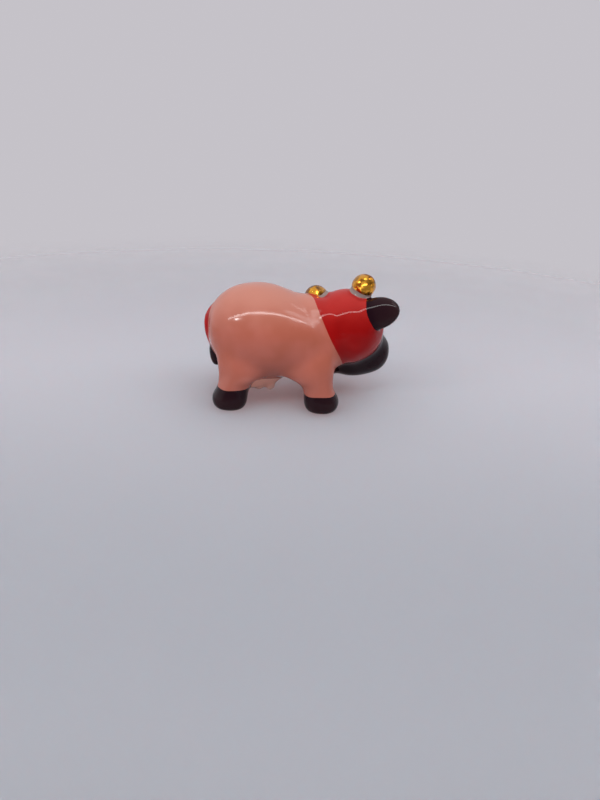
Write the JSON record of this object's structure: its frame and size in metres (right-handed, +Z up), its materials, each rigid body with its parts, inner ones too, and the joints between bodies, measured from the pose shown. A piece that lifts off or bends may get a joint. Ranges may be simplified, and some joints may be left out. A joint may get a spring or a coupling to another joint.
{
  "type": "cow figurine",
  "caption": "Small glazed porcelain cow standing on stubby legs, head lowered and turned to its left, gold balls for horn tips; rests on a shelf or table as an ornament.",
  "frame": {"origin": "on the ground under the middle of the outer box", "axes": "+X from the tail towards the head, +Y to the cow's left, +Z up"},
  "size_m": [0.0311, 0.017, 0.0212],
  "materials": {
    "pink_glaze": "glossy clear glaze over flesh-pink underglaze",
    "red_glaze": "glossy red glaze",
    "dark_glaze": "glossy brown-black glaze",
    "pale_glaze": "glossy pale pink glaze",
    "ivory_glaze": "glossy ivory glaze",
    "gold_lustre": "brushed-on gold lustre fired over glaze"
  },
  "bodies": {
    "root": {"torso": "pink_glaze", "front_left_leg": "pink_glaze", "front_right_leg": "pink_glaze", "rear_left_leg": "pink_glaze", "rear_right_leg": "pink_glaze", "front_left_hoof": "dark_glaze", "front_right_hoof": "dark_glaze", "rear_left_hoof": "dark_glaze", "rear_right_hoof": "dark_glaze", "udder": "pale_glaze", "teats": "pale_glaze", "tail": "red_glaze", "tail_tuft": "dark_glaze", "head": "red_glaze", "muzzle": "dark_glaze", "left_ear": "dark_glaze", "right_ear": "dark_glaze", "left_horn_base": "ivory_glaze", "right_horn_base": "ivory_glaze", "left_horn_ball": "gold_lustre", "right_horn_ball": "gold_lustre", "left_eye": "dark_glaze", "right_eye": "dark_glaze"}
  },
  "joints": []
}
